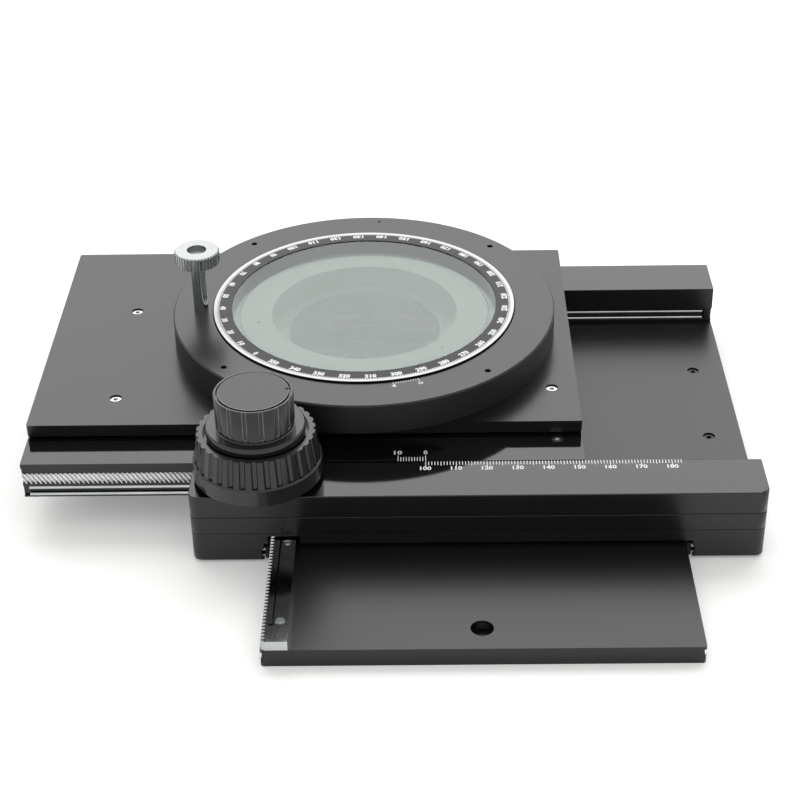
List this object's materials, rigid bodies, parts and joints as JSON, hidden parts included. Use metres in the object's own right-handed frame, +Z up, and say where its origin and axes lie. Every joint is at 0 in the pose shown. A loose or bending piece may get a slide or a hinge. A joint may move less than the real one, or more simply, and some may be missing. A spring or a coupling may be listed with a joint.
{
  "type": "microscope stage",
  "caption": "Mechanical microscope stage: crossed ball slides with rack drives on coaxial knobs and a rotating glass table with a clamp screw.",
  "frame": {"origin": "middle of the base plate's underside, halfway between its two bolt holes", "axes": "+Z up, +Y from the front (knob side) to the back, +X to the right"},
  "size_m": [0.2421, 0.2157, 0.0645],
  "materials": {
    "black_anodised": "satin black anodised",
    "scale_black": "satin black with white printing",
    "black_knob": "satin black anodised",
    "polished_steel": "polished",
    "bright_steel": "ground steel",
    "screw_steel": "satin steel",
    "dark_steel": "blackened steel",
    "cage_brass": "satin",
    "bronze": "satin",
    "white_nylon": "matt",
    "chrome_plate": "polished",
    "glass": "clear flat glass"
  },
  "bodies": {
    "base": {"base_plate": "black_anodised", "y_rack_bar": "bright_steel", "y_rack_screws": "screw_steel", "base_guide_rods": "polished_steel", "y_stop_pin": "bright_steel"},
    "y_ball_guides": {"y_ball_cages": "cage_brass", "y_guide_balls": "polished_steel"},
    "stage_frame": {"mid_plate": "black_anodised", "side_rail_left": "black_anodised", "side_rail_right": "black_anodised", "side_rail_screws": "screw_steel", "side_guide_rods": "polished_steel", "front_guide_bar": "black_anodised", "front_top_bar": "black_anodised", "rear_guide_bar": "black_anodised", "rear_top_bar": "black_anodised", "rail_screws": "screw_steel", "rail_guide_rods": "polished_steel", "rail_end_stops": "dark_steel", "x_stop_post": "bright_steel", "upper_bush": "bronze", "lower_bush": "bronze"},
    "x_ball_guides": {"x_ball_cages": "cage_brass", "x_guide_balls": "polished_steel"},
    "carriage": {"slide_plate": "black_anodised", "x_rack": "bright_steel", "x_rack_screws": "dark_steel", "front_guide_strip": "black_anodised", "rear_guide_strip": "black_anodised", "slide_guide_rods": "polished_steel", "slide_screws": "screw_steel", "x_stop_dogs": "dark_steel", "top_plate": "black_anodised", "top_plate_screws": "screw_steel", "table_seat": "black_anodised", "table_slide_ring": "white_nylon", "ring_housing": "black_anodised", "ring_screws": "dark_steel"},
    "rotating_table": {"scale_ring": "scale_black", "glass_disc": "glass"},
    "clamp_screw": {"clamp_head": "chrome_plate", "clamp_stem": "chrome_plate", "clamp_pad": "bronze"},
    "x_drive": {"big_knob": "black_knob", "big_knob_grub": "dark_steel", "x_knob_tube": "bright_steel", "x_pinion": "bright_steel", "drag_washer": "white_nylon"},
    "y_drive": {"small_knob": "black_knob", "small_knob_cap": "black_knob", "small_knob_grub": "dark_steel", "y_knob_shaft": "bright_steel", "y_pinion": "bright_steel"}
  },
  "joints": [
    {"name": "y_slide", "type": "slide", "parent": "base", "child": "stage_frame", "axis": [0, 1, 0], "range_m": [-0.06, 0]},
    {"name": "x_slide", "type": "slide", "parent": "stage_frame", "child": "carriage", "axis": [1, 0, 0], "range_m": [0, 0.075]},
    {"name": "y_cage_slide", "type": "slide", "parent": "base", "child": "y_ball_guides", "axis": [0, 1, 0], "range_m": [-0.031, 0.001]},
    {"name": "x_cage_slide", "type": "slide", "parent": "stage_frame", "child": "x_ball_guides", "axis": [1, 0, 0], "range_m": [-0.001, 0.0385]},
    {"name": "table_turn", "type": "hinge", "parent": "carriage", "child": "rotating_table", "pos_m": [-0.0381, 0.07235, 0.041], "axis": [0, 0, 1], "continuous": true},
    {"name": "clamp_turn", "type": "hinge", "parent": "carriage", "child": "clamp_screw", "pos_m": [-0.09607, 0.07053, 0.05], "axis": [0, 0, 1], "range_deg": [0, 270]},
    {"name": "x_knob_turn", "type": "hinge", "parent": "stage_frame", "child": "x_drive", "pos_m": [-0.0707, -0.01115, 0.03], "axis": [0, 0, 1], "range_deg": [-545, 5]},
    {"name": "y_knob_turn", "type": "hinge", "parent": "stage_frame", "child": "y_drive", "pos_m": [-0.0707, -0.01115, 0.05], "axis": [0, 0, 1], "range_deg": [-5, 770]}
  ],
  "couplings": [
    {"joint": "y_cage_slide", "follows": "y_slide", "ratio": 0.5},
    {"joint": "x_cage_slide", "follows": "x_slide", "ratio": 0.5},
    {"joint": "x_knob_turn", "follows": "x_slide", "rad_per_m": -125},
    {"joint": "y_knob_turn", "follows": "y_slide", "rad_per_m": -222.22}
  ]
}
